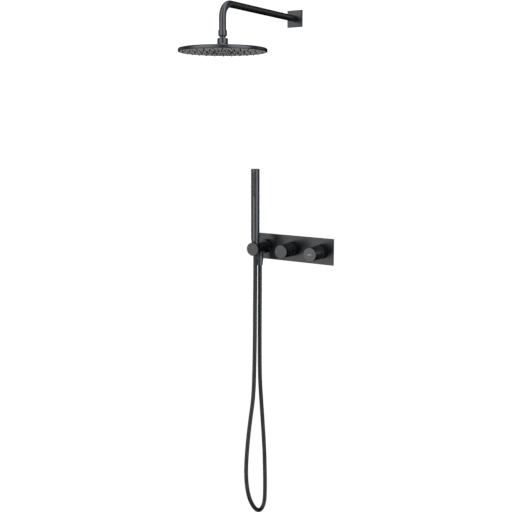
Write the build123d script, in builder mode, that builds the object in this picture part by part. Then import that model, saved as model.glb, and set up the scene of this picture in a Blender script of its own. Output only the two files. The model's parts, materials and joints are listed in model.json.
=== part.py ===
from build123d import *

import math
import os

# Concealed two-outlet shower set: a cover plate with the hand shower's holder and outlet, a
# diverter and a mixer, and a rain head on its own wall arm above them.
# Millimetres. The origin lies on the finished wall behind the centre of the cover plate.
# +X is to the right, +Z is up, and -Y points out of the wall into the room.
# "out" is a distance from the wall into the room, so a negative one lies inside the wall.

os.makedirs("parts", exist_ok=True)

# ---- driving dimensions -------------------------------------------------------------------
FIT = 0.1  # play between pieces that are screwed or pushed together
RUN = 0.05  # radial play of a turning shaft
GAP = 0.3  # play between pieces that move past each other
EDGE = 0.5  # small broken edges

PLATE_W = 300.0
PLATE_H = 87.0
PLATE_FRONT = 4.0
GASKET = 1.0
GASKET_RIM = 10.0
PITCH = 107.0  # between holder, diverter and mixer
HOLDER_X = -PITCH
DIVERTER_X = 0.0
MIXER_X = PITCH

KNOB_R = 22.0
KNOB_WALL = 4.0
KNOB_FRONT = 86.0
KNOB_BACK = 35.3
SLEEVE_R = 24.0
SLEEVE_FRONT = 35.0
SPINDLE_R = 4.0
SPINDLE_TIP = 62.0
SPINDLE_FOOT = -6.0
INSERT_R = 8.3
GRUB_OUT = 56.0
GRUB_R = 2.45
MARK_W = 12.0
MARK_H = 1.1

BAR_R = 13.0  # outside of the valve's cast bar
BAR_OUT = -16.0  # its axis, inside the wall
VALVE_BACK = -30.0
VALVE_FRONT = -1.0
CHAMBER_R = 20.0
MOUTH_R = 18.0
MOUTH_END = -8.0
NUT_HEAD_R = MOUTH_R - 1  # head of the cartridge's ring nut
CARTRIDGE_R = 15.6
NECK_R = 12.5
NECK_FRONT = 9.0
PORT_R = 12.5  # outside of the inlets and of the rain port
PORT_BORE_R = 4.5
MIXED_R = 5.0
GALLERY_R = 4.0
PORT_THREAD_R = 9.3  # G 1/2 female, at its crest
PORT_END = 38.0
PORT_THREAD = 14.0
INLET_SPREAD = 32.0
RAIN_PORT_X = -40.0
BRACKET_W = 180.0
BRACKET_H = 58.0
BRACKET_T = 2.0
BRACKET_CORNER_R = 6.0
BRACKET_HOLES_W = 160.0
BRACKET_HOLES_H = 44.0
BRACKET_HOLE_R = 2.75
PAD_X = 54.0
PAD_W = 20.0
PAD_H = 16.0
SCREW_HEAD_R = 4.5
SCREW_HEAD = 3.0
SCREW_SHANK = 9.0
SCREW_HOLE = 8.0
SCREW_SOCKET_R = 2.3
SCREW_SOCKET = 2.0

STEM_R = 15.5
STEM_FRONT = 85.0
CAP_FRONT = 90.0
ROSETTE_R = 23.0
ROSETTE_FRONT = 19.0
STICK_OUT = 71.5  # axis of the hand shower and its socket
SOCKET_TOP = 17.5
SOCKET_FOOT = -17.5
NUT_TOP = 19.0
NUT_LENGTH = 33.0
NUT_STEP = 10.0  # length of the nut's threaded, almost cylindrical top
NUT_R = 11.9
OUTLET_NUT_R = 11.75
NUT_STEP_R = 11.5
NUT_FOOT_R = 8.8
NUT_THREAD = 11.8
THREAD_R = 10.2  # G 1/2 male, slightly cleared
OUTLET_OUT = 43.5
OUTLET_R = 11.0
OUTLET_FOOT = -26.5
OUTLET_NUT_TOP = -27.2
WATER_R = 5.0  # waterways of holder and washers

STICK_R = 14.0
STICK_WALL = 1.3
STICK_TOP = 264.0
STICK_FOOT = 31.0
CAP_T = 2.0
CAP_PLUG = 5.0
STRIP_W = 11.0
STRIP_FOOT = 174.0
STRIP_TOP = 254.0
STRIP_NOZZLES = 12
STRIP_NOZZLE_R = 1.0
STRIP_PITCH_X = 5.2
STRIP_PITCH_Z = (STRIP_TOP - STRIP_FOOT - 8) / (STRIP_NOZZLES - 1)

HOSE_R = 7.0
HOSE_BORE_R = 6.0
SLOT_R = 7.4  # the nuts' lower bore, which the hose passes
FERRULE = 16.0
FERRULE_FLANGE = 1.5
FERRULE_BORE_R = 4.0
WASHER = 1.4
WASHER_R = THREAD_R - 0.2

ARM_Z = 742.0
ARM_R = 10.0
ARM_BORE_R = 8.5
ARM_REACH = 400.0
ARM_BEND = 40.0
ARM_THREAD_R = 10.48
ARM_THREAD = 18.0
ARM_END = 661.7
ESCUTCHEON = 52.0
ESCUTCHEON_T = 8.0
ESCUTCHEON_WALL = 3.0

BALL_Z = 654.5
BALL_R = 10.5
BALL_SEAT_R = 10.7
BALL_NUT_R = 12.3
BALL_NUT_FOOT = 651.5
BALL_NUT_TOP = 666.7
BALL_NECK_R = 8.5
HUB_R = 15.0
HUB_TOP = 644.4
HUB_FLARE_R = 17.0
HEAD_R = 125.0
HEAD_FACE = 607.0
HEAD_RIM_TOP = 616.6
DOME_TOP = 626.5
SHEET = 1.8
SPRAY_PLATE_R = 121.2
NOZZLE_ARMS = 28
NOZZLE_RINGS = 6
NOZZLE_FIRST_R = 28.0
NOZZLE_STEP_R = 16.8
NOZZLE_TWIST = 7.0  # degrees from one ring to the next
NOZZLE_R = 1.9
NOZZLE_TIP = 604.4
NOZZLE_TAPER = 6  # degrees


# ---- helpers ------------------------------------------------------------------------------
def facing(out, x=0.0, z=0.0):
    """A plane parallel to the wall, whose own +Z points into the room."""
    return Plane(origin=(x, -out, z), x_dir=(1, 0, 0), z_dir=(0, -1, 0))


def level(z, x=0.0, out=0.0):
    """A horizontal plane at height z."""
    return Plane(origin=(x, -out, z), x_dir=(1, 0, 0), z_dir=(0, 0, 1))


def sideways(x, out=0.0, z=0.0):
    """An upright plane square to the wall, whose own +Z points along +X."""
    return Plane(origin=(x, -out, z), x_dir=(0, 1, 0), z_dir=(1, 0, 0))


def standing(x, out):
    """A profile plane: its own X is a radius, its own Y is the height above z = 0."""
    return Plane(origin=(x, -out, 0), x_dir=(1, 0, 0), z_dir=(0, -1, 0))


def reaching(x, z=0.0):
    """A profile plane: its own X is a radius, its own Y is the distance out of the wall."""
    return Plane(origin=(x, 0, z), x_dir=(1, 0, 0), z_dir=(0, 0, -1))


def turn(outline, plane, mode=Mode.ADD):
    """Turns an outline of (radius, height) points about the profile plane's own Y axis."""
    with BuildSketch(plane) as profile:
        with BuildLine():
            Polyline(*outline, close=True)
        make_face()
    revolve(profile.sketch, axis=Axis(plane.origin, plane.y_dir), mode=mode)


def rod(plane, radius, length, mode=Mode.ADD):
    with BuildSketch(plane) as disc:
        Circle(radius)
    extrude(disc.sketch, amount=length, mode=mode)


def block(plane, width, height, length, mode=Mode.ADD):
    with BuildSketch(plane) as outline:
        Rectangle(width, height)
    extrude(outline.sketch, amount=length, mode=mode)


def ring(plane, outer_r, inner_r, length):
    rod(plane, outer_r, length)
    rod(plane, inner_r, length, Mode.SUBTRACT)


def write(piece, name):
    piece.part.label = name
    export_step(piece.part, f"parts/{name}.step")


# ---- cover plate --------------------------------------------------------------------------
with BuildPart() as wall_plate:
    block(facing(GASKET), PLATE_W, PLATE_H, PLATE_FRONT - GASKET)
    chamfer(wall_plate.faces().sort_by(Axis.Y)[0].edges(), EDGE)
    for knob_x in (DIVERTER_X, MIXER_X):
        rod(facing(0, knob_x), MOUTH_R + EDGE, 2 * PLATE_FRONT, Mode.SUBTRACT)
    rod(facing(0, HOLDER_X), THREAD_R + EDGE, 2 * PLATE_FRONT, Mode.SUBTRACT)
write(wall_plate, "wall_plate")

GASKET_W = PLATE_W - 4
GASKET_H = PLATE_H - 4
with BuildPart() as plate_gasket:
    block(facing(0), GASKET_W, GASKET_H, GASKET)
    block(facing(0), GASKET_W - 2 * GASKET_RIM, GASKET_H - 2 * GASKET_RIM, GASKET, Mode.SUBTRACT)
write(plate_gasket, "plate_gasket")

# ---- valve inside the wall ----------------------------------------------------------------
# Mixed water runs from the mixer chamber to the diverter chamber, and from there through an
# upper gallery to the rain port or through a lower one to the hand shower's outlet.
GALLERY_RISE = 6.0
CHAMBER_BORE_R = CARTRIDGE_R + FIT
CHAMBER_END = -26.0
INLET_XS = (MIXER_X - INLET_SPREAD / 2, MIXER_X + INLET_SPREAD / 2)
SUPPLY_R = 10.0
SUPPLY_BORE_R = 6.5
SUPPLY_WALL = 4.0
SUPPLY_FOOT = -14.0
SUPPLY_END = -21.0
CHECK_R = 8.0
CHECK_BORE_R = 4.0
CHECK_END = 22.0
CHECK_LENGTH = 7.0

with BuildPart() as valve_manifold:
    rod(sideways(HOLDER_X, BAR_OUT), BAR_R, MIXER_X - HOLDER_X)
    rod(facing(VALVE_BACK, HOLDER_X), SUPPLY_R + SUPPLY_WALL, VALVE_FRONT - VALVE_BACK)
    for knob_x in (DIVERTER_X, MIXER_X):
        rod(facing(VALVE_BACK, knob_x), CHAMBER_R, VALVE_FRONT - VALVE_BACK)
    for inlet_x in INLET_XS:
        rod(level(-PORT_END, inlet_x, BAR_OUT), PORT_R, PORT_END)
    rod(level(0, RAIN_PORT_X, BAR_OUT), PORT_R, PORT_END)
    for pad_x in (-PAD_X, PAD_X):
        block(facing(VALVE_BACK, pad_x), PAD_W, PAD_H, -VALVE_BACK + BAR_OUT)
    for knob_x in (DIVERTER_X, MIXER_X):
        rod(facing(MOUTH_END, knob_x), MOUTH_R, -MOUTH_END, Mode.SUBTRACT)
        rod(facing(CHAMBER_END, knob_x), CHAMBER_BORE_R, -CHAMBER_END, Mode.SUBTRACT)
    rod(facing(SUPPLY_END, HOLDER_X), SUPPLY_R + RUN, -SUPPLY_END, Mode.SUBTRACT)
    rod(sideways(DIVERTER_X, BAR_OUT), MIXED_R, MIXER_X - DIVERTER_X, Mode.SUBTRACT)
    rod(sideways(HOLDER_X, BAR_OUT, -GALLERY_RISE), GALLERY_R, -HOLDER_X, Mode.SUBTRACT)
    rod(sideways(RAIN_PORT_X, BAR_OUT, GALLERY_RISE), GALLERY_R, -RAIN_PORT_X, Mode.SUBTRACT)
    rod(level(GALLERY_RISE, RAIN_PORT_X, BAR_OUT), PORT_BORE_R, PORT_END, Mode.SUBTRACT)
    rod(
        level(PORT_END - PORT_THREAD, RAIN_PORT_X, BAR_OUT),
        PORT_THREAD_R,
        PORT_THREAD,
        Mode.SUBTRACT,
    )
    for inlet_x in INLET_XS:
        rod(level(-PORT_END, inlet_x, BAR_OUT), PORT_BORE_R, PORT_END, Mode.SUBTRACT)
        rod(level(-PORT_END, inlet_x, BAR_OUT), CHECK_R + FIT, CHECK_END, Mode.SUBTRACT)
        rod(level(-PORT_END, inlet_x, BAR_OUT), PORT_THREAD_R, PORT_THREAD, Mode.SUBTRACT)
    for pad_x in (-PAD_X, PAD_X):
        rod(facing(VALVE_BACK, pad_x), GRUB_R + RUN, SCREW_HOLE, Mode.SUBTRACT)
write(valve_manifold, "valve_manifold")

with BuildPart() as inlet_check_valves:
    for inlet_x in INLET_XS:
        check_foot = level(-PORT_END + PORT_THREAD + EDGE, inlet_x, BAR_OUT)
        ring(check_foot, CHECK_R, CHECK_BORE_R, CHECK_LENGTH)
write(inlet_check_valves, "inlet_check_valves")

with BuildPart() as mounting_bracket:
    with BuildSketch(facing(VALVE_BACK - BRACKET_T)) as bracket_outline:
        RectangleRounded(BRACKET_W, BRACKET_H, BRACKET_CORNER_R)
        with GridLocations(BRACKET_HOLES_W, BRACKET_HOLES_H, 2, 2):
            Circle(BRACKET_HOLE_R, mode=Mode.SUBTRACT)
        with GridLocations(2 * PAD_X, 0, 2, 1):
            Circle(GRUB_R + FIT, mode=Mode.SUBTRACT)
    extrude(amount=BRACKET_T)
write(mounting_bracket, "mounting_bracket")

with BuildPart() as bracket_screws:
    for pad_x in (-PAD_X, PAD_X):
        head_back = facing(VALVE_BACK - BRACKET_T - SCREW_HEAD, pad_x)
        rod(head_back, SCREW_HEAD_R, SCREW_HEAD)
        rod(facing(VALVE_BACK - BRACKET_T, pad_x), GRUB_R, SCREW_SHANK)
        with BuildSketch(head_back) as screw_socket:
            RegularPolygon(SCREW_SOCKET_R, 6)
        extrude(screw_socket.sketch, amount=SCREW_SOCKET, mode=Mode.SUBTRACT)
write(bracket_screws, "bracket_screws")


# ---- the two controls ---------------------------------------------------------------------
def cartridge(x):
    """Ceramic cartridge: body in the chamber, neck through the plate, bore for the spindle."""
    with BuildPart() as piece:
        turn(
            [
                (0, CHAMBER_END + FIT),
                (CARTRIDGE_R, CHAMBER_END + FIT),
                (CARTRIDGE_R, MOUTH_END - FIT),
                (NECK_R, MOUTH_END - FIT),
                (NECK_R, NECK_FRONT),
                (SPINDLE_R + RUN, NECK_FRONT),
                (SPINDLE_R + RUN, SPINDLE_FOOT - GAP),
                (0, SPINDLE_FOOT - GAP),
            ],
            reaching(x),
        )
    return piece


def cartridge_nut(x):
    """Ring nut that is screwed into the chamber's mouth and holds the cartridge down."""
    head = 6.0
    with BuildPart() as piece:
        turn(
            [
                (NECK_R + FIT, MOUTH_END),
                (MOUTH_R - FIT, MOUTH_END),
                (MOUTH_R - FIT, VALVE_FRONT),
                (NUT_HEAD_R, VALVE_FRONT),
                (NUT_HEAD_R, head - EDGE),
                (NUT_HEAD_R - EDGE, head),
                (NECK_R + FIT, head),
            ],
            reaching(x),
        )
    return piece


def sleeve(x):
    """Round cover between the plate and the knob."""
    wall = 3.0
    inner_r = SLEEVE_R - wall
    neck_r = INSERT_R + wall
    with BuildPart() as piece:
        turn(
            [
                (inner_r, PLATE_FRONT),
                (SLEEVE_R, PLATE_FRONT),
                (SLEEVE_R, SLEEVE_FRONT - EDGE),
                (SLEEVE_R - EDGE, SLEEVE_FRONT),
                (neck_r, SLEEVE_FRONT),
                (neck_r, SLEEVE_FRONT - wall),
                (inner_r, SLEEVE_FRONT - wall),
            ],
            reaching(x),
        )
    return piece


def spindle(x):
    """The shaft that turns in the cartridge."""
    with BuildPart() as piece:
        rod(facing(SPINDLE_FOOT, x), SPINDLE_R, SPINDLE_TIP - SPINDLE_FOOT)
        chamfer(piece.faces().sort_by(Axis.Y)[0].edges(), EDGE)
    return piece


def knob_insert(x):
    """Adaptor between the spindle and the knob, with the grub screw's hole."""
    flange_front = KNOB_FRONT - KNOB_WALL
    flange = 3.5
    hub_back = SPINDLE_TIP - 14
    with BuildPart() as piece:
        turn(
            [
                (0, flange_front),
                (KNOB_R - KNOB_WALL - FIT, flange_front),
                (KNOB_R - KNOB_WALL - FIT, flange_front - flange),
                (INSERT_R, flange_front - flange),
                (INSERT_R, hub_back),
                (SPINDLE_R + RUN, hub_back),
                (SPINDLE_R + RUN, SPINDLE_TIP + GAP),
                (0, SPINDLE_TIP + GAP),
            ],
            reaching(x),
        )
        rod(level(-INSERT_R - 1, x, GRUB_OUT), GRUB_R + RUN, INSERT_R + 1, Mode.SUBTRACT)
    return piece


def knob(x, marked):
    """Cup-shaped knob, open at the back."""
    inner_r = KNOB_R - KNOB_WALL
    with BuildPart() as piece:
        turn(
            [
                (0, KNOB_FRONT),
                (KNOB_R - EDGE, KNOB_FRONT),
                (KNOB_R, KNOB_FRONT - EDGE),
                (KNOB_R, KNOB_BACK + EDGE),
                (KNOB_R - EDGE, KNOB_BACK),
                (inner_r, KNOB_BACK),
                (inner_r, KNOB_FRONT - KNOB_WALL),
                (0, KNOB_FRONT - KNOB_WALL),
            ],
            reaching(x),
        )
        rod(level(-KNOB_R - 1, x, GRUB_OUT), GRUB_R + RUN, KNOB_WALL + 2, Mode.SUBTRACT)
        if marked:
            block(facing(KNOB_FRONT - EDGE, x), MARK_W, MARK_H, 1, Mode.SUBTRACT)
    return piece


def grub_screw(x):
    """Socket set screw from the knob's underside to the spindle."""
    foot = -KNOB_R + 1.5
    socket_r = 1.4
    socket_depth = 2.5
    with BuildPart() as piece:
        rod(level(foot, x, GRUB_OUT), GRUB_R, -SPINDLE_R - FIT - foot)
        with BuildSketch(level(foot, x, GRUB_OUT)) as socket:
            RegularPolygon(socket_r, 6)
        extrude(socket.sketch, amount=socket_depth, mode=Mode.SUBTRACT)
    return piece


for control, control_x, marked in (
    ("diverter", DIVERTER_X, False),
    ("mixer", MIXER_X, True),
):
    write(cartridge(control_x), f"{control}_cartridge")
    write(cartridge_nut(control_x), f"{control}_cartridge_nut")
    write(sleeve(control_x), f"{control}_sleeve")
    write(spindle(control_x), f"{control}_spindle")
    write(knob_insert(control_x), f"{control}_insert")
    write(knob(control_x, marked), f"{control}_knob")
    write(grub_screw(control_x), f"{control}_grub_screw")

with BuildPart() as mixer_index:
    block(facing(KNOB_FRONT - EDGE, MIXER_X), MARK_W, MARK_H, EDGE + FIT)
write(mixer_index, "mixer_index")

with BuildPart() as sleeve_seals:
    for knob_x in (DIVERTER_X, MIXER_X):
        ring(facing(GASKET, knob_x), MOUTH_R + EDGE, NUT_HEAD_R + RUN, PLATE_FRONT - GASKET)
write(sleeve_seals, "sleeve_seals")

# ---- hand shower holder and hose outlet ---------------------------------------------------
SUPPLY_FRONT = 14.0
NUT_STEP_Z = NUT_TOP - NUT_STEP
NUT_FOOT_Z = NUT_TOP - NUT_LENGTH
NIPPLE_R = 7.95  # the end that is screwed into the holder
NIPPLE_SCREWED = 11.5
NIPPLE_FOOT = -36.0
NIPPLE_BORE_R = 6.0
VALVE_INSERT_R = 5.9  # check valve and flow limiter

with BuildPart() as supply_nipple:
    ring(facing(SUPPLY_FOOT, HOLDER_X), SUPPLY_R, SUPPLY_BORE_R, SUPPLY_FRONT - SUPPLY_FOOT)
write(supply_nipple, "supply_nipple")

with BuildPart() as holder_rosette:
    turn(
        [
            (STEM_R + FIT, PLATE_FRONT),
            (ROSETTE_R, PLATE_FRONT),
            (ROSETTE_R, ROSETTE_FRONT - EDGE),
            (ROSETTE_R - EDGE, ROSETTE_FRONT),
            (STEM_R + FIT, ROSETTE_FRONT),
        ],
        reaching(HOLDER_X),
    )
write(holder_rosette, "holder_rosette")

with BuildPart() as holder_body:
    rod(facing(PLATE_FRONT, HOLDER_X), STEM_R, STEM_FRONT - PLATE_FRONT)
    rod(level(SOCKET_FOOT, HOLDER_X, STICK_OUT), STEM_R, SOCKET_TOP - SOCKET_FOOT)
    rod(level(OUTLET_FOOT, HOLDER_X, OUTLET_OUT), OUTLET_R, -OUTLET_FOOT)
    block(facing(STEM_FRONT, HOLDER_X), 4 * STEM_R, 4 * STEM_R, STEM_R, Mode.SUBTRACT)
    turn(
        [
            (0, SOCKET_FOOT - 1),
            (NUT_FOOT_R + GAP, SOCKET_FOOT - 1),
            (NUT_FOOT_R + GAP, NUT_FOOT_Z),
            (NUT_STEP_R + GAP, NUT_STEP_Z),
            (NUT_R + GAP, NUT_TOP),
            (0, NUT_TOP),
        ],
        standing(HOLDER_X, STICK_OUT),
        Mode.SUBTRACT,
    )
    rod(facing(0, HOLDER_X), SUPPLY_R + RUN, SUPPLY_FRONT + FIT, Mode.SUBTRACT)
    rod(facing(0, HOLDER_X), WATER_R, OUTLET_OUT, Mode.SUBTRACT)
    outlet_foot = level(OUTLET_FOOT, HOLDER_X, OUTLET_OUT)
    rod(outlet_foot, WATER_R, -OUTLET_FOOT, Mode.SUBTRACT)
    rod(outlet_foot, NIPPLE_R + RUN, NIPPLE_SCREWED + EDGE, Mode.SUBTRACT)
write(holder_body, "holder_body")

with BuildPart() as holder_cap:
    rod(facing(STEM_FRONT, HOLDER_X), KNOB_R, CAP_FRONT - STEM_FRONT)
    chamfer(holder_cap.faces().sort_by(Axis.Y)[0].edges(), EDGE)
write(holder_cap, "holder_cap")

nipple_foot = level(NIPPLE_FOOT, HOLDER_X, OUTLET_OUT)
with BuildPart() as outlet_nipple:
    rod(nipple_foot, THREAD_R, OUTLET_FOOT - NIPPLE_FOOT)
    rod(outlet_foot, NIPPLE_R, NIPPLE_SCREWED)
    rod(nipple_foot, NIPPLE_BORE_R, -NIPPLE_FOOT, Mode.SUBTRACT)
write(outlet_nipple, "outlet_nipple")

with BuildPart() as outlet_check_valve:
    ring(nipple_foot.offset(2), VALVE_INSERT_R, 3.0, 12.0)
write(outlet_check_valve, "outlet_check_valve")


def cone_nut(out, top, top_r):
    """Conical hose nut: threaded top, tapered foot that the hose passes."""
    bore_r = THREAD_R + FIT
    floor = top - NUT_THREAD
    with BuildPart() as piece:
        turn(
            [
                (bore_r, top),
                (top_r - EDGE / 2, top),
                (top_r, top - EDGE / 2),
                (NUT_STEP_R, top - NUT_STEP),
                (NUT_FOOT_R, top - NUT_LENGTH),
                (SLOT_R, top - NUT_LENGTH),
                (SLOT_R, floor),
                (bore_r, floor),
            ],
            standing(HOLDER_X, out),
        )
    return piece


def hose_ferrule(out, top):
    """Flanged end piece that is pressed into the hose and held by its nut."""
    barrel_r = HOSE_R - 0.2
    with BuildPart() as piece:
        ring(level(top - FERRULE_FLANGE, HOLDER_X, out), WASHER_R, FERRULE_BORE_R, FERRULE_FLANGE)
        ring(level(top - FERRULE, HOLDER_X, out), barrel_r, FERRULE_BORE_R, FERRULE)
    return piece


def hose_washer(out, foot):
    with BuildPart() as piece:
        ring(level(foot, HOLDER_X, out), WASHER_R, WATER_R, WASHER)
    return piece


HOSE_NUT_WASHER = NUT_TOP - 8.8
OUTLET_NUT_WASHER = NIPPLE_FOOT - FIT

write(cone_nut(OUTLET_OUT, OUTLET_NUT_TOP, OUTLET_NUT_R), "outlet_hose_nut")
write(hose_ferrule(OUTLET_OUT, OUTLET_NUT_WASHER - WASHER), "outlet_ferrule")
write(hose_washer(OUTLET_OUT, OUTLET_NUT_WASHER - WASHER), "outlet_washer")

write(cone_nut(STICK_OUT, NUT_TOP, NUT_R), "handset_hose_nut")
write(hose_ferrule(STICK_OUT, HOSE_NUT_WASHER - WASHER), "handset_ferrule")
write(hose_washer(STICK_OUT, HOSE_NUT_WASHER - WASHER), "handset_washer")

# ---- hose ---------------------------------------------------------------------------------
# The route in the plane x = HOLDER_X, as (y, z): down from the hand shower, out into the
# room, round the loop at the bottom, and up along the wall to the outlet.
HOSE_TOP = HOSE_NUT_WASHER - WASHER - FERRULE
HOSE_END = OUTLET_NUT_WASHER - WASHER - FERRULE
HOSE_ROUTE = [
    (-STICK_OUT, HOSE_TOP),
    (-STICK_OUT, -78),
    (-73.4, -190),
    (-74.6, -310),
    (-78, -420),
    (-83.2, -510),
    (-104.6, -592),
    (-117.4, -652),
    (-125.8, -709),
    (-129.8, -758),
    (-126.8, -800),
    (-118, -841),
    (-103.5, -876),
    (-83.5, -905.5),
    (-63, -927),
    (-44, -936.5),
    (-27, -934),
    (-15.3, -922),
    (-10.6, -902),
    (-9.2, -868),
    (-9.8, -815),
    (-12.6, -744),
    (-18, -680),
    (-26.8, -600),
    (-36, -522),
    (-43, -455),
    (-44.6, -360),
    (-44.4, -240),
    (-OUTLET_OUT, -125),
    (-OUTLET_OUT, HOSE_END),
]
hose_points = [Vector(HOLDER_X, y, z) for y, z in HOSE_ROUTE]


def bend_radii(points):
    """One radius for each corner, as large as its two runs allow."""
    radii = []
    for before, corner, after in zip(points, points[1:], points[2:]):
        arriving = corner - before
        leaving = after - corner
        half_turn = math.radians(arriving.get_angle(leaving)) / 2
        radii.append(0.45 * min(arriving.length, leaving.length) / math.tan(half_turn))
    return radii


hose_radii = bend_radii(hose_points)
with BuildPart() as shower_hose:
    with BuildLine() as hose_line:
        FilletPolyline(*hose_points, radius=hose_radii)
    with BuildSketch(Plane(origin=hose_line.line @ 0, z_dir=hose_line.line % 0)):
        Circle(HOSE_R)
        Circle(HOSE_BORE_R, mode=Mode.SUBTRACT)
    sweep()
write(shower_hose, "shower_hose")

hose_length = hose_line.wire().length
hose_section = math.pi * (HOSE_R**2 - HOSE_BORE_R**2)
hose_fill = shower_hose.part.volume / hose_section / hose_length
print("hose radii:", [round(radius) for radius in hose_radii])
print(f"hose length: {hose_length:.0f}")
print(f"hose volume over section times length: {hose_fill:.5f}")

# ---- hand shower --------------------------------------------------------------------------
stick = standing(HOLDER_X, STICK_OUT)
STICK_BORE_R = STICK_R - STICK_WALL
SPIGOT = 11.0
ADAPTOR_FOOT = HOSE_NUT_WASHER + 0.2
ADAPTOR_BORE_R = 6.0

with BuildPart() as handset_adaptor:
    turn(
        [
            (ADAPTOR_BORE_R, ADAPTOR_FOOT),
            (THREAD_R, ADAPTOR_FOOT),
            (THREAD_R, NUT_TOP + GAP),
            (NUT_R, NUT_TOP + GAP),
            (NUT_R, NUT_TOP + 1.5),
            (STICK_R, STICK_FOOT),
            (STICK_BORE_R - FIT, STICK_FOOT),
            (STICK_BORE_R - FIT, STICK_FOOT + SPIGOT),
            (ADAPTOR_BORE_R, STICK_FOOT + SPIGOT),
        ],
        stick,
    )
write(handset_adaptor, "handset_adaptor")

with BuildPart() as flow_limiter:
    ring(level(ADAPTOR_FOOT + 1, HOLDER_X, STICK_OUT), VALVE_INSERT_R, 2.5, 6.0)
write(flow_limiter, "flow_limiter")

STRIP_Z = (STRIP_FOOT + STRIP_TOP) / 2
STRIP_H = STRIP_TOP - STRIP_FOOT
with BuildPart() as handset_tube:
    ring(
        level(STICK_FOOT, HOLDER_X, STICK_OUT),
        STICK_R,
        STICK_BORE_R,
        STICK_TOP - CAP_T - STICK_FOOT,
    )
    block(
        facing(STICK_OUT, HOLDER_X, STRIP_Z),
        STRIP_W + 2 * FIT,
        STRIP_H + 2 * FIT,
        2 * STICK_R,
        Mode.SUBTRACT,
    )
write(handset_tube, "handset_tube")

with BuildPart() as handset_end_cap:
    rod(level(STICK_TOP - CAP_T, HOLDER_X, STICK_OUT), STICK_R, CAP_T)
    chamfer(handset_end_cap.faces().sort_by(Axis.Z)[-1].edges(), EDGE)
    rod(level(STICK_TOP - CAP_T - CAP_PLUG, HOLDER_X, STICK_OUT), STICK_BORE_R - FIT, CAP_PLUG)
write(handset_end_cap, "handset_end_cap")

STRIP_BACK = 12.0  # from the stick's axis to the back of the nozzle strip
WATERWAY_R = 9.5
WATERWAY_WALL = 2.0
WATERWAY_NECK_R = 5.9
WATERWAY_NECK = STICK_FOOT + SPIGOT + 1
CHEST_BACK = WATERWAY_R - WATERWAY_WALL + GAP  # the water chest behind the nozzle strip
with BuildPart() as handset_waterway:
    turn(
        [
            (WATERWAY_NECK_R - WATERWAY_WALL, STICK_FOOT + 3),
            (WATERWAY_NECK_R, STICK_FOOT + 3),
            (WATERWAY_NECK_R, WATERWAY_NECK),
            (WATERWAY_R, WATERWAY_NECK + 3),
            (WATERWAY_R, STRIP_TOP + WATERWAY_WALL),
            (0, STRIP_TOP + WATERWAY_WALL),
            (0, STRIP_TOP),
            (WATERWAY_R - WATERWAY_WALL, STRIP_TOP),
            (WATERWAY_R - WATERWAY_WALL, WATERWAY_NECK + 4),
            (WATERWAY_NECK_R - WATERWAY_WALL, WATERWAY_NECK + 1),
        ],
        stick,
    )
    block(
        facing(STICK_OUT + CHEST_BACK, HOLDER_X, STRIP_Z),
        STRIP_W - WATERWAY_WALL,
        STRIP_H - 2 * WATERWAY_WALL,
        STRIP_BACK - CHEST_BACK,
    )
    block(
        facing(STICK_OUT, HOLDER_X, STRIP_Z),
        WATERWAY_WALL * 2,
        STRIP_H - 4 * WATERWAY_WALL,
        STRIP_BACK + 1,
        Mode.SUBTRACT,
    )
write(handset_waterway, "handset_waterway")

with BuildPart() as nozzle_strip:
    rod(level(STRIP_FOOT, HOLDER_X, STICK_OUT), STICK_R - FIT, STRIP_H)
    block(
        facing(STICK_OUT + STRIP_BACK, HOLDER_X, STRIP_Z),
        STRIP_W,
        STRIP_H,
        STICK_R,
        Mode.INTERSECT,
    )
    with BuildSketch(facing(STICK_OUT + STRIP_BACK + EDGE, HOLDER_X, STRIP_Z)) as strip_dots:
        with GridLocations(STRIP_PITCH_X, STRIP_PITCH_Z, 2, STRIP_NOZZLES):
            Circle(STRIP_NOZZLE_R)
    extrude(strip_dots.sketch, amount=STICK_R - STRIP_BACK + RUN, taper=NOZZLE_TAPER)
write(nozzle_strip, "nozzle_strip")

# ---- rain head arm ------------------------------------------------------------------------
ARM_THREAD_FOOT = -ARM_THREAD
with BuildPart() as shower_arm:
    with BuildLine() as arm_line:
        FilletPolyline(
            (0, 0, ARM_Z),
            (0, -ARM_REACH, ARM_Z),
            (0, -ARM_REACH, ARM_END),
            radius=ARM_BEND,
        )
    with BuildSketch(facing(0, 0, ARM_Z)) as arm_section:
        Circle(ARM_R)
    sweep(arm_section.sketch, path=arm_line.line)
    rod(facing(ARM_THREAD_FOOT, 0, ARM_Z), ARM_THREAD_R, ARM_THREAD)
    rod(level(ARM_END, 0, ARM_REACH), BALL_SEAT_R - FIT, BALL_NUT_TOP - ARM_END - EDGE)
    with BuildSketch(facing(0, 0, ARM_Z)) as arm_bore:
        Circle(ARM_BORE_R)
    sweep(arm_bore.sketch, path=arm_line.line, mode=Mode.SUBTRACT)
    rod(facing(ARM_THREAD_FOOT, 0, ARM_Z), ARM_BORE_R, ARM_THREAD, Mode.SUBTRACT)
write(shower_arm, "shower_arm")

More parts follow.
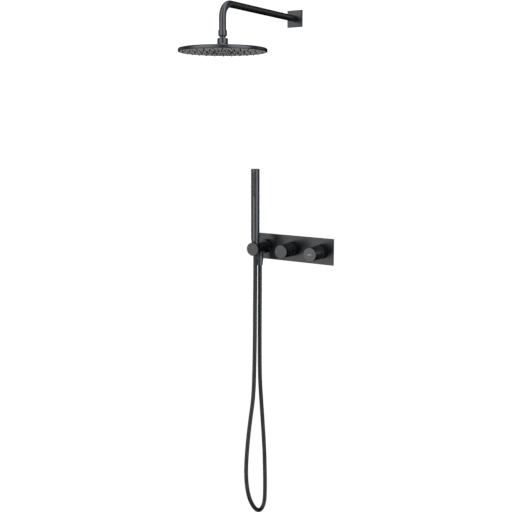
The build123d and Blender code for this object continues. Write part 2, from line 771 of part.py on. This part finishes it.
BOSS_R = 15.0
BOSS_BACK = 2.6
SET_SCREW_OUT = 5.0
SET_SCREW_R = 1.85
SET_SCREW_SOCKET_R = 1.1
POCKET = ESCUTCHEON - 2 * ESCUTCHEON_WALL
with BuildPart() as arm_escutcheon:
    block(facing(0, 0, ARM_Z), ESCUTCHEON, ESCUTCHEON, ESCUTCHEON_T)
    chamfer(arm_escutcheon.faces().sort_by(Axis.Y)[0].edges(), EDGE)
    block(facing(0, 0, ARM_Z), POCKET, POCKET, ESCUTCHEON_T - ESCUTCHEON_WALL, Mode.SUBTRACT)
    rod(facing(BOSS_BACK, 0, ARM_Z), BOSS_R, ESCUTCHEON_T - BOSS_BACK - 1)
    rod(facing(0, 0, ARM_Z), ARM_R + FIT, ESCUTCHEON_T, Mode.SUBTRACT)
    set_screw_hole = level(ARM_Z - ESCUTCHEON, 0, SET_SCREW_OUT)
    rod(set_screw_hole, SET_SCREW_R + RUN, ESCUTCHEON, Mode.SUBTRACT)
write(arm_escutcheon, "arm_escutcheon")

with BuildPart() as escutcheon_grub_screw:
    set_screw_foot = level(ARM_Z - BOSS_R, 0, SET_SCREW_OUT)
    rod(set_screw_foot, SET_SCREW_R, BOSS_R - ARM_R - FIT / 2)
    with BuildSketch(set_screw_foot) as escutcheon_socket:
        RegularPolygon(SET_SCREW_SOCKET_R, 6)
    extrude(escutcheon_socket.sketch, amount=2, mode=Mode.SUBTRACT)
write(escutcheon_grub_screw, "escutcheon_grub_screw")

with BuildPart() as arm_seal:
    ring(facing(GAP, 0, ARM_Z), ARM_THREAD_R + 2.2, ARM_R + RUN, BOSS_BACK - 2 * GAP)
write(arm_seal, "arm_seal")

# ---- ball joint ---------------------------------------------------------------------------
drop = standing(0, ARM_REACH)


def height_on(ball_r, radius):
    """Height above the ball's centre where a sphere of ball_r has this radius."""
    return math.sqrt(ball_r**2 - radius**2)


NUT_MOUTH_R = height_on(BALL_SEAT_R, BALL_Z - BALL_NUT_FOOT)
with BuildPart() as ball_nut:
    with BuildSketch(drop):
        with BuildLine():
            Polyline(
                (BALL_SEAT_R, BALL_Z),
                (BALL_SEAT_R, BALL_NUT_TOP),
                (BALL_NUT_R - EDGE, BALL_NUT_TOP),
                (BALL_NUT_R, BALL_NUT_TOP - EDGE),
                (BALL_NUT_R, BALL_NUT_FOOT + EDGE),
                (BALL_NUT_R - EDGE, BALL_NUT_FOOT),
                (NUT_MOUTH_R, BALL_NUT_FOOT),
            )
            RadiusArc((NUT_MOUTH_R, BALL_NUT_FOOT), (BALL_SEAT_R, BALL_Z), -BALL_SEAT_R)
        make_face()
    revolve(axis=Axis(drop.origin, drop.y_dir))
write(ball_nut, "ball_nut")

SEAT_FOOT = BALL_Z + 4
SEAT_TOP = ARM_END - FIT
SEAT_CUP_R = BALL_R + GAP
with BuildPart() as ball_seat:
    rod(level(SEAT_FOOT, 0, ARM_REACH), BALL_SEAT_R - FIT, SEAT_TOP - SEAT_FOOT)
    with Locations((0, -ARM_REACH, BALL_Z)):
        Sphere(SEAT_CUP_R, mode=Mode.SUBTRACT)
write(ball_seat, "ball_seat")

STUD_FOOT = 632.5
STUD_THREAD_R = 7.9
STUD_BORE_R = 4.0
NECK_TOP = BALL_Z - height_on(BALL_R, BALL_NECK_R)
CROWN = BALL_Z + height_on(BALL_R, STUD_BORE_R)
with BuildPart() as ball_stud:
    with BuildSketch(drop):
        with BuildLine():
            Polyline(
                (STUD_BORE_R, CROWN),
                (STUD_BORE_R, STUD_FOOT),
                (STUD_THREAD_R, STUD_FOOT),
                (STUD_THREAD_R, HUB_TOP),
                (BALL_NECK_R, HUB_TOP),
                (BALL_NECK_R, NECK_TOP),
            )
            ThreePointArc((BALL_NECK_R, NECK_TOP), (BALL_R, BALL_Z), (STUD_BORE_R, CROWN))
        make_face()
    revolve(axis=Axis(drop.origin, drop.y_dir))
write(ball_stud, "ball_stud")

# ---- rain head ----------------------------------------------------------------------------
HUB_THREAD_R = 10.0
HUB_FOOT = 617.0
HUB_NUT_T = 4.0
HUB_NUT_R = 15.0
HUB_SEAL_R = 13.0
with BuildPart() as head_hub:
    turn(
        [
            (WATER_R, HUB_FOOT),
            (HUB_THREAD_R, HUB_FOOT),
            (HUB_THREAD_R, DOME_TOP),
            (HUB_FLARE_R, DOME_TOP),
            (HUB_FLARE_R, DOME_TOP + 1),
            (HUB_R, DOME_TOP + 4),
            (HUB_R, HUB_TOP - EDGE),
            (HUB_R - EDGE, HUB_TOP),
            (STUD_THREAD_R + RUN, HUB_TOP),
            (STUD_THREAD_R + RUN, STUD_FOOT - FIT),
            (WATER_R, STUD_FOOT - FIT),
        ],
        drop,
    )
write(head_hub, "head_hub")

SHELL_TOP_UNDER = DOME_TOP - SHEET
with BuildPart() as hub_lock_nut:
    with BuildSketch(level(SHELL_TOP_UNDER - HUB_NUT_T, 0, ARM_REACH)):
        RegularPolygon(HUB_NUT_R, 6)
        Circle(HUB_THREAD_R + RUN, mode=Mode.SUBTRACT)
    extrude(amount=HUB_NUT_T)
write(hub_lock_nut, "hub_lock_nut")

DOME_FLAT_R = 24.0
SHELL_BORE_R = HUB_THREAD_R + RUN
RIM_BORE_R = SPRAY_PLATE_R + FIT
with BuildPart() as head_shell:
    turn(
        [
            (SHELL_BORE_R, DOME_TOP),
            (DOME_FLAT_R, DOME_TOP),
            (HEAD_R, HEAD_RIM_TOP),
            (HEAD_R, HEAD_FACE),
            (RIM_BORE_R, HEAD_FACE),
            (RIM_BORE_R, HEAD_RIM_TOP - SHEET),
            (DOME_FLAT_R, SHELL_TOP_UNDER),
            (SHELL_BORE_R, SHELL_TOP_UNDER),
        ],
        drop,
    )
    rim = head_shell.edges().filter_by(GeomType.CIRCLE).filter_by(lambda e: e.radius > HEAD_R - FIT)
    fillet(rim.sort_by(Axis.Z)[-1], 4.0)
    rim = head_shell.edges().filter_by(GeomType.CIRCLE).filter_by(lambda e: e.radius > HEAD_R - FIT)
    fillet(rim.sort_by(Axis.Z)[0], 2.0)
write(head_shell, "head_shell")



def nozzle_spot(arm_no, ring_no):
    radius = NOZZLE_FIRST_R + NOZZLE_STEP_R * ring_no
    turned = math.radians(360 / NOZZLE_ARMS * arm_no + NOZZLE_TWIST * ring_no)
    return (radius * math.cos(turned), radius * math.sin(turned))


nozzle_spots = [
    nozzle_spot(arm_no, ring_no) for ring_no in range(NOZZLE_RINGS) for arm_no in range(NOZZLE_ARMS)
]
SPRAY_PLATE_T = 1.6
with BuildPart() as spray_plate:
    with BuildSketch(level(HEAD_FACE, 0, ARM_REACH)):
        Circle(SPRAY_PLATE_R)
        with Locations(*nozzle_spots):
            Circle(NOZZLE_R + FIT, mode=Mode.SUBTRACT)
    extrude(amount=SPRAY_PLATE_T)
write(spray_plate, "spray_plate")

MAT_FOOT = HEAD_FACE + SPRAY_PLATE_T + RUN
MAT_T = 1.5
MAT_R = SPRAY_PLATE_R - 3
downward = Plane(origin=(0, -ARM_REACH, MAT_FOOT), x_dir=(1, 0, 0), z_dir=(0, 0, -1))
with BuildPart() as nozzle_mat:
    rod(level(MAT_FOOT, 0, ARM_REACH), MAT_R, MAT_T)
    with BuildSketch(downward) as tips:
        with Locations(*[(x, -y) for x, y in nozzle_spots]):
            Circle(NOZZLE_R)
    extrude(tips.sketch, amount=MAT_FOOT - NOZZLE_TIP, taper=NOZZLE_TAPER)
write(nozzle_mat, "nozzle_mat")

PRESS_PLATE_FOOT = MAT_FOOT + MAT_T + RUN
PRESS_PLATE_T = 2.0
PASSAGE_R = 6.0
PASSAGES = ((45, 10), (90, 18))  # radius and count of each ring of passages
with BuildPart() as distribution_plate:
    with BuildSketch(level(PRESS_PLATE_FOOT, 0, ARM_REACH)):
        Circle(MAT_R)
        for passage_ring, passage_count in PASSAGES:
            with PolarLocations(passage_ring, passage_count):
                Circle(PASSAGE_R, mode=Mode.SUBTRACT)
    extrude(amount=PRESS_PLATE_T)
write(distribution_plate, "distribution_plate")

with BuildPart() as hub_seal:
    seal_foot = level(SHELL_TOP_UNDER - HUB_NUT_T - WASHER - FIT, 0, ARM_REACH)
    ring(seal_foot, HUB_SEAL_R, HUB_THREAD_R + RUN, WASHER)
write(hub_seal, "hub_seal")
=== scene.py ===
import json
import math

import bpy
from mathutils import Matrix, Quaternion, Vector


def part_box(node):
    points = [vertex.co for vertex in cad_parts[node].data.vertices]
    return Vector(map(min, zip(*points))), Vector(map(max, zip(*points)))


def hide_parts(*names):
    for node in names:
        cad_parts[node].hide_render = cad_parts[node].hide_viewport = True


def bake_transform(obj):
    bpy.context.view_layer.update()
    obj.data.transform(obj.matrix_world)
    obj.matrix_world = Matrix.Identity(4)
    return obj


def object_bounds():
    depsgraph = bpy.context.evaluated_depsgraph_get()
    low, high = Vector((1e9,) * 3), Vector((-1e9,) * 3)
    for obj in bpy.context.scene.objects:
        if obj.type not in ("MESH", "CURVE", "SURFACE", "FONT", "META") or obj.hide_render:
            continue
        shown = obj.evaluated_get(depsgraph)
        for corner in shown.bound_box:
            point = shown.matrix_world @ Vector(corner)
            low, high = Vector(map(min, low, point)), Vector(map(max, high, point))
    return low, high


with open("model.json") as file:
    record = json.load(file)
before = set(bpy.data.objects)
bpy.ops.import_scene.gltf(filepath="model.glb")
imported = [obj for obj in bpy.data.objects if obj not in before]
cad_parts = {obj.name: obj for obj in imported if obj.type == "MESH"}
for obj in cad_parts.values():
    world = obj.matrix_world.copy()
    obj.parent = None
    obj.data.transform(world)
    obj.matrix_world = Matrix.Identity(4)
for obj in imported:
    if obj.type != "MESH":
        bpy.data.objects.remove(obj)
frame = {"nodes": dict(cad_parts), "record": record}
CAD_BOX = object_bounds()
NODES = frame["nodes"]
MM = 0.001

# ---- camera ---------------------------------------------------------------------------------
CAMERA_PLACE = Vector((1.2963, -2.2086, 0.4015))
CAMERA_AZIMUTH = math.radians(32.62)
CAMERA_DOWN = math.radians(8.02)
LENS_MM = 54.72
SHIFT = (-0.0163, -0.0386)
ROLL = 0.0015


def make_camera():
    data = bpy.data.cameras.new("camera")
    data.lens = LENS_MM
    data.shift_x, data.shift_y = SHIFT
    data.clip_end = 50
    camera = bpy.data.objects.new("camera", data)
    bpy.context.scene.collection.objects.link(camera)
    looking = Vector(
        (
            -math.sin(CAMERA_AZIMUTH) * math.cos(CAMERA_DOWN),
            math.cos(CAMERA_AZIMUTH) * math.cos(CAMERA_DOWN),
            -math.sin(CAMERA_DOWN),
        )
    )
    camera.location = CAMERA_PLACE
    upright = looking.to_track_quat("-Z", "Y")
    camera.rotation_euler = (upright @ Quaternion((0, 0, 1), ROLL)).to_euler()
    bpy.context.scene.camera = camera


# ---- hose -----------------------------------------------------------------------------------
HOSE_X = -0.107
HOSE_R = 0.0070
# the route's (y, z), from the hand shower's nut round the loop to the outlet
HOSE_ROUTE = [
    (-0.0715, -0.0072),
    (-0.0715, -0.0780),
    (-0.0734, -0.1900),
    (-0.0746, -0.3100),
    (-0.0780, -0.4200),
    (-0.0832, -0.5100),
    (-0.1046, -0.5920),
    (-0.1174, -0.6520),
    (-0.1258, -0.7090),
    (-0.1298, -0.7580),
    (-0.1268, -0.8000),
    (-0.1180, -0.8410),
    (-0.1035, -0.8760),
    (-0.0835, -0.9055),
    (-0.0630, -0.9270),
    (-0.0440, -0.9365),
    (-0.0270, -0.9340),
    (-0.0153, -0.9220),
    (-0.0106, -0.9020),
    (-0.0092, -0.8680),
    (-0.0098, -0.8150),
    (-0.0126, -0.7440),
    (-0.0180, -0.6800),
    (-0.0268, -0.6000),
    (-0.0360, -0.5220),
    (-0.0430, -0.4550),
    (-0.0446, -0.3600),
    (-0.0444, -0.2400),
    (-0.0435, -0.1250),
    (-0.0435, -0.0535),
]
SPIRAL_PITCH = 0.0066
GROOVE = 0.0008
GROOVE_SHARPNESS = 12  # a higher power makes the groove narrower
RINGS_PER_TURN = 8
SIDES = 20


def line_of_route():
    """Points along the NURBS spline whose control points are the route."""
    curve = bpy.data.curves.new("hose_line", "CURVE")
    curve.dimensions = "3D"
    spline = curve.splines.new("NURBS")
    spline.points.add(len(HOSE_ROUTE) - 1)
    for point, (y, z) in zip(spline.points, HOSE_ROUTE):
        point.co = (HOSE_X, y, z, 1)
    spline.order_u = 3
    spline.use_endpoint_u = True
    spline.resolution_u = 24
    holder = bpy.data.objects.new("hose_line", curve)
    bpy.context.scene.collection.objects.link(holder)
    mesh = bpy.data.meshes.new_from_object(holder)
    points = [v.co.copy() for v in mesh.vertices]
    bpy.data.objects.remove(holder)
    bpy.data.meshes.remove(mesh)
    return points


def even(points, step):
    """The same line with points about one step apart."""
    lengths = [0.0]
    for a, b in zip(points, points[1:]):
        lengths.append(lengths[-1] + (b - a).length)
    count = round(lengths[-1] / step)
    out, i = [], 0
    for k in range(count + 1):
        at = lengths[-1] * k / count
        while i < len(points) - 2 and lengths[i + 1] < at:
            i += 1
        span = lengths[i + 1] - lengths[i]
        out.append(points[i].lerp(points[i + 1], (at - lengths[i]) / span))
    return out


def groove_depth(phase):
    """Rounded coils with a narrow groove between them; phase runs from 0 to 1 along a pitch."""
    return GROOVE * abs(math.cos(math.pi * phase)) ** GROOVE_SHARPNESS


def make_hose():
    step = SPIRAL_PITCH / RINGS_PER_TURN
    line = even(line_of_route(), step)
    across = Vector((1, 0, 0))
    vertices, faces = [], []
    for k, centre in enumerate(line):
        before, after = line[max(k - 1, 0)], line[min(k + 1, len(line) - 1)]
        along = (after - before).normalized()
        other = along.cross(across).normalized()
        for side in range(SIDES):
            turn = side / SIDES
            depth = groove_depth(k / RINGS_PER_TURN - turn)
            angle = 2 * math.pi * turn
            way = across * math.cos(angle) + other * math.sin(angle)
            vertices.append(centre + way * (HOSE_R - depth))
    for k in range(len(line) - 1):
        for side in range(SIDES):
            a = k * SIDES + side
            b = k * SIDES + (side + 1) % SIDES
            faces.append((a, b, b + SIDES, a + SIDES))
    last = (len(line) - 1) * SIDES
    faces.append(tuple(range(SIDES))[::-1])
    faces.append(tuple(range(last, last + SIDES)))
    mesh = bpy.data.meshes.new("hose_spiral")
    mesh.from_pydata(vertices, [], faces)
    mesh.polygons.foreach_set("use_smooth", [True] * len(mesh.polygons))
    mesh.update()
    hose = bpy.data.objects.new("hose_spiral", mesh)
    bpy.context.scene.collection.objects.link(hose)
    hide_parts("shower_hose")
    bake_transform(hose)
    return hose


# ---- materials ------------------------------------------------------------------------------
class Shader:
    """A node tree built by hand, with a principled surface at its end."""

    def __init__(self, name, metallic=0.0, sheen=0.0):
        self.material = bpy.data.materials.new(name)
        self.material.use_nodes = True
        self.tree = self.material.node_tree
        self.tree.nodes.clear()
        out = self.node("OutputMaterial")
        self.surface = self.node("BsdfPrincipled")
        self.join(self.surface.outputs["BSDF"], out.inputs["Surface"])
        self.surface.inputs["Metallic"].default_value = metallic
        self.surface.inputs["Sheen Weight"].default_value = sheen
        self.place = self.node("TexCoord")
        self.normal = None

    def node(self, kind, **settings):
        made = self.tree.nodes.new("ShaderNode" + kind)
        for name, value in settings.items():
            setattr(made, name, value)
        return made

    def join(self, value, socket):
        """Links an output to the socket, or sets a number or colour on it."""
        if isinstance(value, bpy.types.NodeSocket):
            self.tree.links.new(value, socket)
        else:
            socket.default_value = value

    def math(self, operation, *values):
        made = self.node("Math", operation=operation)
        for value, socket in zip(values, made.inputs):
            self.join(value, socket)
        return made.outputs[0]

    def noise(self, scale, detail=3.0, stretch=None):
        made = self.node("TexNoise")
        made.inputs["Scale"].default_value = scale
        made.inputs["Detail"].default_value = detail
        place = self.place.outputs["Object"]
        if stretch is not None:
            mapping = self.node("Mapping")
            mapping.inputs["Scale"].default_value = stretch
            self.join(place, mapping.inputs["Vector"])
            place = mapping.outputs["Vector"]
        self.join(place, made.inputs["Vector"])
        return made.outputs["Fac"]

    def span(self, value, low, high, from_low=0.0, from_high=1.0, smooth=False):
        """value brought from one range to another."""
        made = self.node("MapRange")
        if smooth:
            made.interpolation_type = "SMOOTHSTEP"
        made.inputs["From Min"].default_value = from_low
        made.inputs["From Max"].default_value = from_high
        made.inputs["To Min"].default_value = low
        made.inputs["To Max"].default_value = high
        self.join(value, made.inputs["Value"])
        return made.outputs["Result"]

    def blend(self, amount, first, second):
        """The colour that lies amount of the way from first to second."""
        made = self.node("Mix", data_type="RGBA")
        self.join(amount, made.inputs["Factor"])
        self.join(first, made.inputs[6])
        self.join(second, made.inputs[7])
        return made.outputs[2]

    def relief(self, height, depth, strength=1.0):
        """Adds a bump of that depth in metres over what is there already."""
        made = self.node("Bump")
        made.inputs["Strength"].default_value = strength
        made.inputs["Distance"].default_value = depth
        self.join(height, made.inputs["Height"])
        if self.normal is not None:
            self.join(self.normal, made.inputs["Normal"])
        self.normal = made.outputs["Normal"]

    def edges(self, radius):
        """1 along edges sharper than the radius, 0 on the faces."""
        bevel = self.node("Bevel", samples=6)
        bevel.inputs["Radius"].default_value = radius
        plain = self.node("NewGeometry")
        dot = self.node("VectorMath", operation="DOT_PRODUCT")
        self.join(bevel.outputs["Normal"], dot.inputs[0])
        self.join(plain.outputs["Normal"], dot.inputs[1])
        return self.span(dot.outputs["Value"], 1.0, 0.0, 0.86, 0.99)

    def finish(self, color, roughness):
        self.join(color, self.surface.inputs["Base Color"])
        self.join(roughness, self.surface.inputs["Roughness"])
        if self.normal is not None:
            self.join(self.normal, self.surface.inputs["Normal"])
        return self.material


def grey(level, blue=0.0):
    return (level * (1 - blue), level, level * (1 + blue), 1)


RIM_GREY = 0.3  # how much of a bare metal's bright rim the coat and the hose keep
LATHE_PITCH = 0.35 * MM  # from one ring of a turned front to the next


def satin_coat(name, level, roughness, spun_about=None):
    """Anthracite coat on metal: fine grain, uneven gloss, and a painted highlight that makes its
    edges a little lighter.

    spun_about is the x of the axis, at a height of 0, about which the flat front was turned.
    """
    s = Shader(name, metallic=1.0)
    s.surface.inputs["Specular Tint"].default_value = grey(RIM_GREY)
    mottled = s.blend(s.noise(26, 4), grey(level * 0.9, 0.03), grey(level * 1.1, 0.035))
    # painted highlight: the edges are lightened towards 1.7 times the coat's grey, broken up by noise
    edge_highlight = s.math("MULTIPLY", s.edges(0.5 * MM), s.span(s.noise(320), 0.15, 0.55, 0.35, 0.65))
    color = s.blend(edge_highlight, mottled, grey(level * 1.7, 0.02))
    gloss = s.span(s.noise(45, 5), roughness - 0.035, roughness + 0.035, 0.3, 0.7)
    s.relief(s.noise(2600, 2), 0.012 * MM)
    s.relief(s.noise(420, 2), 0.01 * MM)
    if spun_about is not None:
        split = s.node("SeparateXYZ")
        s.join(s.place.outputs["Object"], split.inputs[0])
        across = s.math("SUBTRACT", split.outputs["X"], spun_about)
        radius = s.math(
            "SQRT",
            s.math("ADD", s.math("POWER", across, 2.0), s.math("POWER", split.outputs["Z"], 2.0)),
        )
        facing = s.node("SeparateXYZ")
        s.join(s.place.outputs["Normal"], facing.inputs[0])
        front = s.span(facing.outputs["Y"], 1.0, 0.0, -0.99, -0.9)
        grooves = s.math("SINE", s.math("MULTIPLY", radius, 2 * math.pi / LATHE_PITCH))
        s.relief(s.math("MULTIPLY", grooves, front), 0.004 * MM)
        gloss = s.math("ADD", gloss, s.math("MULTIPLY", front, 0.06))
    return s.finish(color, gloss)


def moulded(name, level, roughness, blue=0.0, grain=1300, depth=0.03):
    """Moulded plastic, silicone or rubber with a fine spark-eroded grain."""
    s = Shader(name)
    color = s.blend(s.noise(60, 3), grey(level * 0.85, blue), grey(level * 1.15, blue))
    s.relief(s.noise(grain, 3), depth * MM)
    return s.finish(color, s.span(s.noise(90, 3), roughness - 0.06, roughness + 0.06, 0.3, 0.7))


def spray_face():
    """Grey coated spray plate with a fine grain."""
    s = Shader("spray_face_grey", metallic=0.2)
    color = s.blend(s.noise(40, 4), grey(0.27), grey(0.31))
    s.relief(s.noise(900, 3), 0.02 * MM)
    return s.finish(color, s.span(s.noise(70, 4), 0.42, 0.52, 0.3, 0.7))


def hose_steel():
    """Dark steel band, a little mottled, with fine scratches that run up and down."""
    s = Shader("hose_metal", metallic=1.0)
    s.surface.inputs["Specular Tint"].default_value = grey(RIM_GREY)
    color = s.blend(s.noise(90, 3), grey(0.1, 0.03), grey(0.15, 0.03))
    s.relief(s.noise(3500, 2, (1, 1, 0.15)), 0.01 * MM)
    return s.finish(color, s.span(s.noise(200, 3), 0.16, 0.26, 0.3, 0.7))


STRIP_ROWS = 12
STRIP_RUN_MM = 72  # from the first row of nozzles to the last
STRIP_ROW = STRIP_RUN_MM / (STRIP_ROWS - 1) * MM


def strip_silicone():
    """Grey silicone with bands of painted shade where each row of nozzles stands."""
    s = Shader("strip_silicone")
    split = s.node("SeparateXYZ")
    s.join(s.place.outputs["Object"], split.inputs[0])
    low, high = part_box("nozzle_strip")
    first = (low[2] + high[2]) / 2 - (STRIP_ROWS - 1) / 2 * STRIP_ROW
    turns = s.math("MULTIPLY", s.math("SUBTRACT", split.outputs["Z"], first), 2 * math.pi / STRIP_ROW)
    # painted shade: a darker band along each row of nozzles
    nozzle_row_shade = s.span(s.math("COSINE", turns), 0.0, 1.0, -0.6, 0.6)
    s.relief(s.noise(2400, 3), 0.03 * MM)
    color = s.blend(nozzle_row_shade, grey(0.085), grey(0.03))
    return s.finish(color, s.span(s.noise(90, 3), 0.44, 0.56, 0.3, 0.7))


def cast_brass():
    s = Shader("cast_brass", metallic=1.0)
    tarnish = s.span(s.noise(35, 5), 0.0, 1.0, 0.4, 0.7)
    color = s.blend(tarnish, (0.68, 0.49, 0.2, 1), (0.42, 0.29, 0.12, 1))
    s.relief(s.noise(900, 4), 0.06 * MM)
    return s.finish(color, s.span(s.noise(120, 4), 0.28, 0.48))


def sheet_steel():
    """Stainless steel, brushed along x."""
    s = Shader("stainless_steel", metallic=1.0)
    brushed = s.noise(2200, 3, (0.03, 1, 1))
    color = s.blend(brushed, grey(0.42), grey(0.58))
    s.relief(brushed, 0.015 * MM)
    return s.finish(color, s.span(s.noise(150, 3), 0.24, 0.36))


def foam():
    """Closed-cell foam: small open cells at its cut faces."""
    s = Shader("gasket_foam", sheen=0.3)
    cells = s.node("TexVoronoi")
    cells.inputs["Scale"].default_value = 1400
    s.join(s.place.outputs["Object"], cells.inputs["Vector"])
    s.relief(cells.outputs["Distance"], 0.25 * MM)
    color = s.blend(cells.outputs["Distance"], grey(0.02), grey(0.06))
    return s.finish(color, 0.9)


# Greys of the one anthracite coat, each chosen to match the brightness measured on that part, so the
# parts in shade get a darker grey as painted shade. Greys of the coat, each chosen to match the
# photo's brightness on that part.
GENERAL_COAT = 0.26
PLATE_COAT = 0.17
# darker copies of the coat on parts that stand in shade: painted shade
SHADED_COATS = {
    "arm_escutcheon": 0.19,
    "holder_body": 0.15,
    "holder_rosette": 0.12,
    "diverter_sleeve": 0.12,
    "mixer_sleeve": 0.13,
}
# These have a flat front that was turned on a lathe and shows fine rings.
# the greys of these fronts are set per knob the same way, so the differences between them are painted
# light and shade
SPUN_FRONTS = {"holder_cap": 0.2, "diverter_knob": 0.21, "mixer_knob": 0.245}


def make_materials():
    return {
        "dark_satin": satin_coat("satin_anthracite", GENERAL_COAT, 0.27),
        "plate_satin": satin_coat("plate_anthracite", PLATE_COAT, 0.3),
        "spray_face": spray_face(),
        "hose_metal": hose_steel(),
        "nozzle_rubber": moulded("nozzle_silicone", 0.012, 0.5, grain=2400),
        "seal_rubber": moulded("seal_rubber", 0.02, 0.6, grain=2400, depth=0.06),
        "foam": foam(),
        "brass": cast_brass(),
        "plastic": moulded("moulded_plastic", 0.55, 0.42),
        "steel": sheet_steel(),
        "index_mark": moulded("index_enamel", 0.75, 0.35, grain=3000, depth=0.01),
    }


def dress_nodes(materials):
    slots = {s["node"]: s["material_slot"] for s in frame["record"]["subparts"]}
    for name, node in NODES.items():
        if name in SPUN_FRONTS:
            low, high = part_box(name)
            axis_x = (low[0] + high[0]) / 2
            material = satin_coat(f"spun_{name}", SPUN_FRONTS[name], 0.27, spun_about=axis_x)
        # a darker copy of the coat as painted shade
        elif name in SHADED_COATS:
            material = satin_coat(f"coat_{name}", SHADED_COATS[name], 0.28)
        elif name == "nozzle_strip":
            material = strip_silicone()
        else:
            material = materials[slots[name]]
        node.data.materials.clear()
        node.data.materials.append(material)


# ---- studio ---------------------------------------------------------------------------------
FLOOR_DROP = 0.06
FLOOR_HALF = 40


def make_floor():
    z = CAD_BOX[0][2] - FLOOR_DROP
    corners = [(-1, -1), (1, -1), (1, 1), (-1, 1)]
    mesh = bpy.data.meshes.new("floor")
    mesh.from_pydata([(x * FLOOR_HALF, y * FLOOR_HALF, z) for x, y in corners], [], [(0, 1, 2, 3)])
    floor = bpy.data.objects.new("floor", mesh)
    bpy.context.scene.collection.objects.link(floor)
    s = Shader("pale_floor")
    mesh.materials.append(s.finish(grey(0.92), 0.9))
    floor.visible_glossy = False


# Soft boxes that the satin metal mirrors. Angles are degrees as (centre, half width, softness).
# An azimuth of 0 is straight out of the wall, and more is to the right.
ALL_ROUND = (0, 400, 1)
NEUTRAL = (1.0, 1.0, 1.0)
COOL = (0.88, 0.97, 1.08)
BOXES = [
    # azimuth, height, tint, strength
    ((-14, 32, 36), (0, 60, 20), NEUTRAL, 0.56),
    ((80, 28, 8), (0, 60, 20), COOL, 0.6),
    ((150, 14, 12), (8, 12, 14), NEUTRAL, 0.17),
    ((-105, 20, 14), (0, 60, 20), COOL, 0.28),
    (ALL_ROUND, (90, 28, 16), COOL, 0.6),
    (ALL_ROUND, (-90, 30, 20), NEUTRAL, 0.06),
]
SHADE = 0.025  # what mirrored rays see between the boxes
FILL = 1.15  # what matt surfaces and the floor receive from all round


def band(s, angle, centre, half_width, softness):
    """1 inside a band of angles in degrees, falling smoothly to 0 at its sides."""
    away = s.math("ABSOLUTE", s.math("SUBTRACT", angle, math.radians(centre)))
    inside = math.radians(half_width - softness / 2)
    outside = math.radians(half_width + softness / 2)
    return s.span(away, 1.0, 0.0, inside, outside, smooth=True)


class Sky(Shader):
    """The world's node tree, with the same helpers."""

    def __init__(self):
        self.world = bpy.data.worlds.new("studio")
        bpy.context.scene.world = self.world
        self.world.use_nodes = True
        self.tree = self.world.node_tree
        self.tree.nodes.clear()
        self.place = self.node("TexCoord")


def make_world():
    s = Sky()
    split = s.node("SeparateXYZ")
    s.join(s.place.outputs["Generated"], split.inputs[0])
    azimuth = s.math("ARCTAN2", split.outputs["X"], s.math("MULTIPLY", split.outputs["Y"], -1.0))
    rise = s.math("ARCSINE", split.outputs["Z"])
    light = s.node("CombineColor")
    s.join(SHADE, light.inputs[0])
    s.join(SHADE, light.inputs[1])
    s.join(SHADE, light.inputs[2])
    total = light.outputs[0]
    for across, up, tint, strength in BOXES:
        inside = s.math("MULTIPLY", band(s, azimuth, *across), band(s, rise, *up))
        lit = s.node("VectorMath", operation="SCALE")
        lit.inputs[0].default_value = [strength * c for c in tint]
        s.join(inside, lit.inputs["Scale"])
        both = s.node("VectorMath", operation="ADD")
        s.join(total, both.inputs[0])
        s.join(lit.outputs[0], both.inputs[1])
        total = both.outputs[0]
    boxes_seen = s.node("Background")
    s.join(total, boxes_seen.inputs["Color"])
    all_round = s.node("Background")
    all_round.inputs["Color"].default_value = grey(1.0)
    all_round.inputs["Strength"].default_value = FILL
    ray = s.node("LightPath")
    mix = s.node("MixShader")
    s.join(ray.outputs["Is Glossy Ray"], mix.inputs[0])
    s.join(all_round.outputs[0], mix.inputs[1])
    s.join(boxes_seen.outputs[0], mix.inputs[2])
    out = s.node("OutputWorld")
    s.join(mix.outputs[0], out.inputs["Surface"])
    bpy.context.scene.view_settings.view_transform = "Standard"


# ---- the scene ------------------------------------------------------------------------------
make_camera()
hose = make_hose()
materials = make_materials()
hose.data.materials.append(materials["hose_metal"])
dress_nodes(materials)
make_floor()
make_world()
